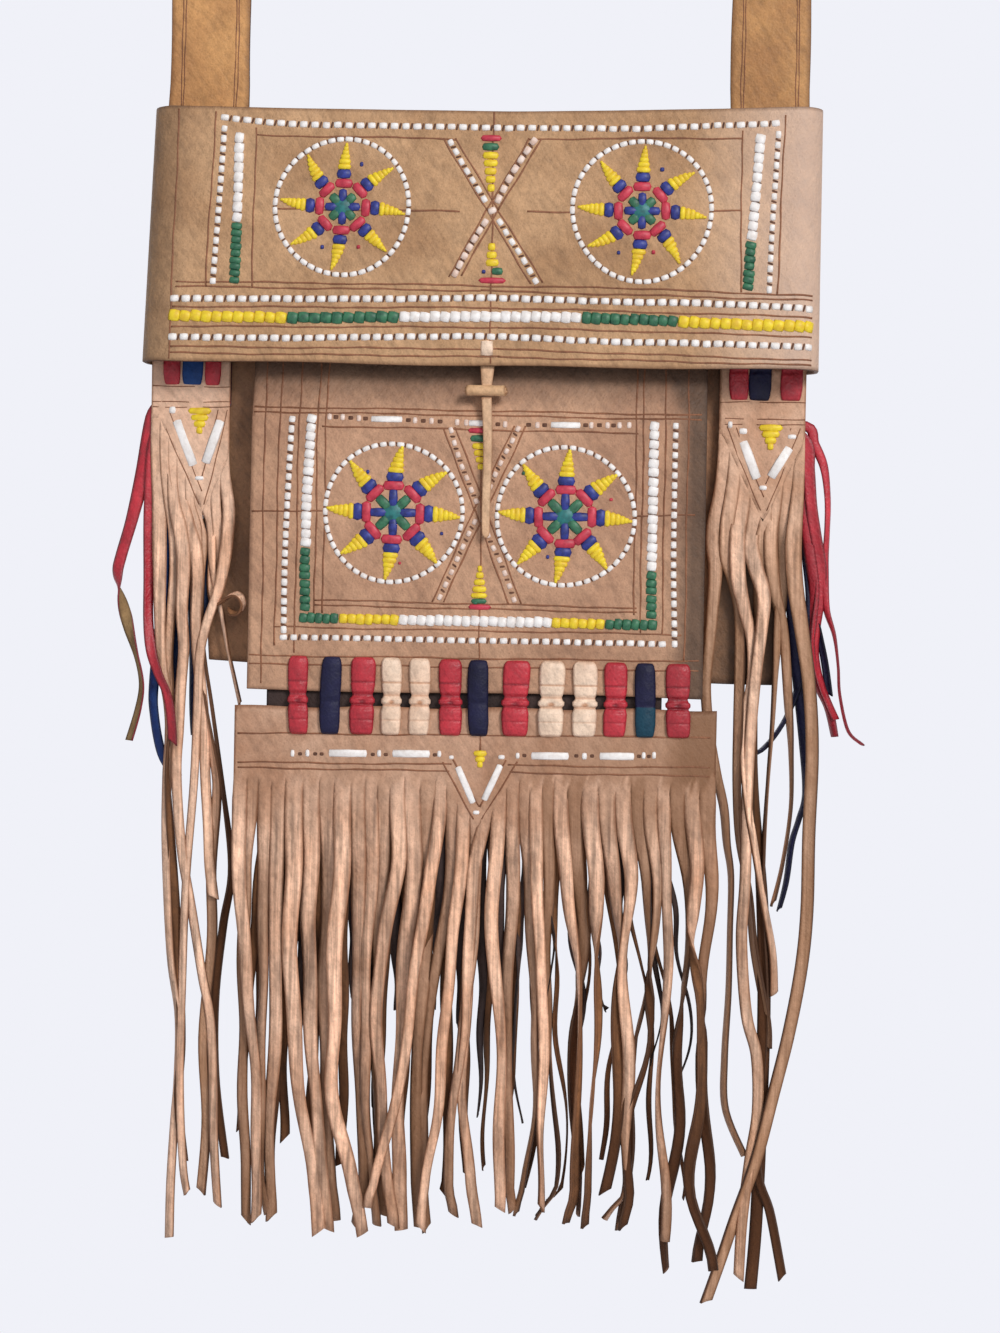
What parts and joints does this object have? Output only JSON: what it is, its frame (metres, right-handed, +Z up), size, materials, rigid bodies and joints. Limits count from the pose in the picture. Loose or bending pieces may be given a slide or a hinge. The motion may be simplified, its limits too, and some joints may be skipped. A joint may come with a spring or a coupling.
{
  "type": "fringed leather shoulder bag",
  "caption": "Flat leather shoulder bag with a cover that slides up its strap, laced star decoration, a toggle thong, and long leather fringes on its lower edge and at both sides.",
  "frame": {"origin": "underside of the strap at its crown, where the strap rests on a shoulder or a peg", "axes": "+Z up along the hanging bag, front towards -Y, +X to the right seen from the front"},
  "size_m": [0.3271, 0.0439, 0.9971],
  "materials": {
    "tan_leather": "soft vegetable-tanned leather, slightly waxed",
    "brown_leather": "darker plain leather",
    "red_leather": "leather dyed red on its grain side",
    "navy_leather": "leather dyed dark blue on its grain side",
    "cream_leather": "undyed pale leather",
    "white_lace": "narrow white strip laced through slits",
    "yellow_lace": "narrow coloured strip laced through slits"
  },
  "bodies": {
    "bag": {"shoulder_strap": "tan_leather", "pouch_back_panel": "brown_leather", "pouch_gusset": "brown_leather", "pouch_front_panel": "tan_leather", "fringe_panel": "tan_leather", "lacing_01": "red_leather", "lacing_02": "navy_leather", "lacing_03": "red_leather", "lacing_04": "cream_leather", "lacing_05": "cream_leather", "lacing_06": "red_leather", "lacing_07": "navy_leather", "lacing_08": "red_leather", "lacing_09": "cream_leather", "lacing_10": "cream_leather", "lacing_11": "red_leather", "lacing_12": "navy_leather", "lacing_13": "red_leather", "tassel_left_front": "tan_leather", "tassel_left_red": "red_leather", "tassel_left_navy": "navy_leather", "tassel_left_lacing_1": "red_leather", "tassel_left_lacing_2": "navy_leather", "tassel_left_lacing_3": "red_leather", "tassel_right_front": "tan_leather", "tassel_right_red": "red_leather", "tassel_right_navy": "navy_leather", "tassel_right_lacing_1": "red_leather", "tassel_right_lacing_2": "navy_leather", "tassel_right_lacing_3": "red_leather", "pouch_ring_left": "white_lace", "pouch_ring_right": "white_lace", "pouch_star_left": "yellow_lace", "pouch_star_right": "yellow_lace", "pouch_cross": "white_lace", "pouch_border": "white_lace", "fringe_chevron": "white_lace", "tassel_left_chevron": "white_lace", "tassel_right_chevron": "white_lace"},
    "cover": {"sliding_cover": "tan_leather", "closing_thong": "cream_leather", "toggle_bar": "cream_leather", "thong_tail": "cream_leather", "cover_ring_left": "white_lace", "cover_ring_right": "white_lace", "cover_star_left": "yellow_lace", "cover_star_right": "yellow_lace", "cover_cross": "white_lace", "cover_border": "white_lace", "cover_row_upper": "white_lace", "cover_row_coloured": "yellow_lace", "cover_row_lower": "white_lace"}
  },
  "joints": [
    {"name": "cover_slide", "type": "slide", "parent": "bag", "child": "cover", "axis": [0, 0, 1], "range_m": [0, 0.17]}
  ]
}
